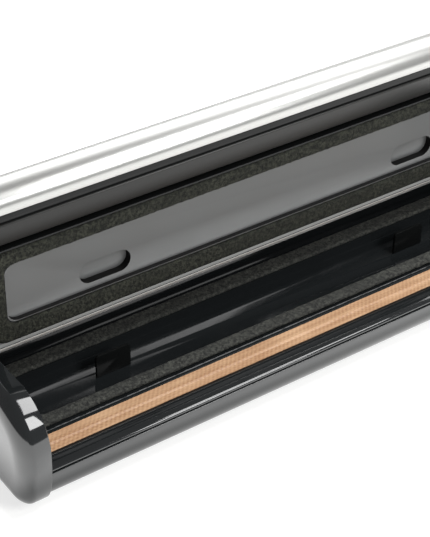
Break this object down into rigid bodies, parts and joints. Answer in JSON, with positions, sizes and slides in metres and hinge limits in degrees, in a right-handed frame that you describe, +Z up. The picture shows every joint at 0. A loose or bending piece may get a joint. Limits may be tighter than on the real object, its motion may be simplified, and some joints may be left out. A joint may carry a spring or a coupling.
{
  "type": "vacuum sealer",
  "caption": "Worktop vacuum sealer with a hinged silver lid between tall end caps, foam gaskets around a vacuum trough, and a taped heating wire along the front.",
  "frame": {"origin": "centre of the footprint, on the surface that the feet stand on", "axes": "+X along the length to the right-hand end, -Y towards the user, +Z up"},
  "size_m": [0.3624, 0.132, 0.1362],
  "materials": {
    "gloss_black": "high-gloss black ABS, injection moulded",
    "liner_black": "gloss charcoal-black ABS lid liner",
    "silver": "silver painted lid cover, fine satin metallic",
    "foam": "charcoal closed-cell foam gasket with a granular skin",
    "sealing_tape": "tan PTFE coated glass cloth tape over the heating wire",
    "pressing_rubber": "satin dark grey silicone pressing strip",
    "steel": "plain steel",
    "brass": "machined brass",
    "dark_plastic": "dark grey matt moulded plastic",
    "board": "green circuit board",
    "hose": "translucent silicone hose",
    "key_grey": "satin grey push buttons",
    "lens_green": "green indicator lens",
    "lens_red": "red indicator lens",
    "foot_rubber": "black rubber feet"
  },
  "bodies": {
    "base": {"base_pan": "gloss_black", "deck": "gloss_black", "rear_housing": "gloss_black", "end_cap_left": "gloss_black", "end_cap_right": "gloss_black", "lower_gasket": "foam", "seal_bar": "steel", "heating_wire": "steel", "sealing_tape": "sealing_tape", "bag_stop_left": "liner_black", "bag_stop_right": "liner_black", "suction_nozzle": "dark_plastic", "vacuum_hose": "hose", "pump_motor": "steel", "motor_bracket": "steel", "pump_head": "dark_plastic", "transformer": "dark_plastic", "control_board": "board", "lid_switch": "dark_plastic", "vent_valve": "brass", "power_inlet": "dark_plastic", "control_panel": "dark_plastic", "lens_green": "lens_green", "lens_red": "lens_red", "hinge_pin_left": "steel", "hinge_pin_right": "steel", "base_screw_1": "steel", "base_screw_2": "steel", "base_screw_3": "steel", "base_screw_4": "steel", "foot_1": "foot_rubber", "foot_2": "foot_rubber", "foot_3": "foot_rubber", "foot_4": "foot_rubber"},
    "lid": {"lid_cover": "silver", "lid_liner": "liner_black", "upper_gasket": "foam", "pressing_strip": "pressing_rubber", "lid_hook_left": "steel", "lid_hook_right": "steel", "hinge_bush_left": "brass", "hinge_bush_right": "brass"},
    "crank": {"pump_crank": "steel"},
    "plunger": {"vent_plunger": "steel"},
    "vacuum_key": {"vacuum_key": "key_grey"},
    "seal_key": {"seal_key": "key_grey"},
    "release_left": {"release_button_left": "key_grey", "latch_slider_left": "dark_plastic"},
    "release_right": {"release_button_right": "key_grey", "latch_slider_right": "dark_plastic"}
  },
  "joints": [
    {"name": "lid_hinge", "type": "hinge", "parent": "base", "child": "lid", "pos_m": [0, 0.0205, 0.053], "axis": [1, 0, 0], "range_deg": [0, 88]},
    {"name": "crank_spin", "type": "hinge", "parent": "base", "child": "crank", "pos_m": [0.102, 0.043, 0.028], "axis": [1, 0, 0], "continuous": true},
    {"name": "plunger_slide", "type": "slide", "parent": "base", "child": "plunger", "axis": [0, 0, -1], "range_m": [0, 0.002], "stiffness_N_per_m": 200},
    {"name": "vacuum_key_press", "type": "slide", "parent": "base", "child": "vacuum_key", "axis": [0, 0, -1], "range_m": [0, 0.0012], "stiffness_N_per_m": 400},
    {"name": "seal_key_press", "type": "slide", "parent": "base", "child": "seal_key", "axis": [0, 0, -1], "range_m": [0, 0.0012], "stiffness_N_per_m": 400},
    {"name": "release_press_left", "type": "slide", "parent": "base", "child": "release_left", "axis": [1, 0, 0], "range_m": [0, 0.0025], "stiffness_N_per_m": 600},
    {"name": "release_press_right", "type": "slide", "parent": "base", "child": "release_right", "axis": [-1, 0, 0], "range_m": [0, 0.0025], "stiffness_N_per_m": 600}
  ]
}
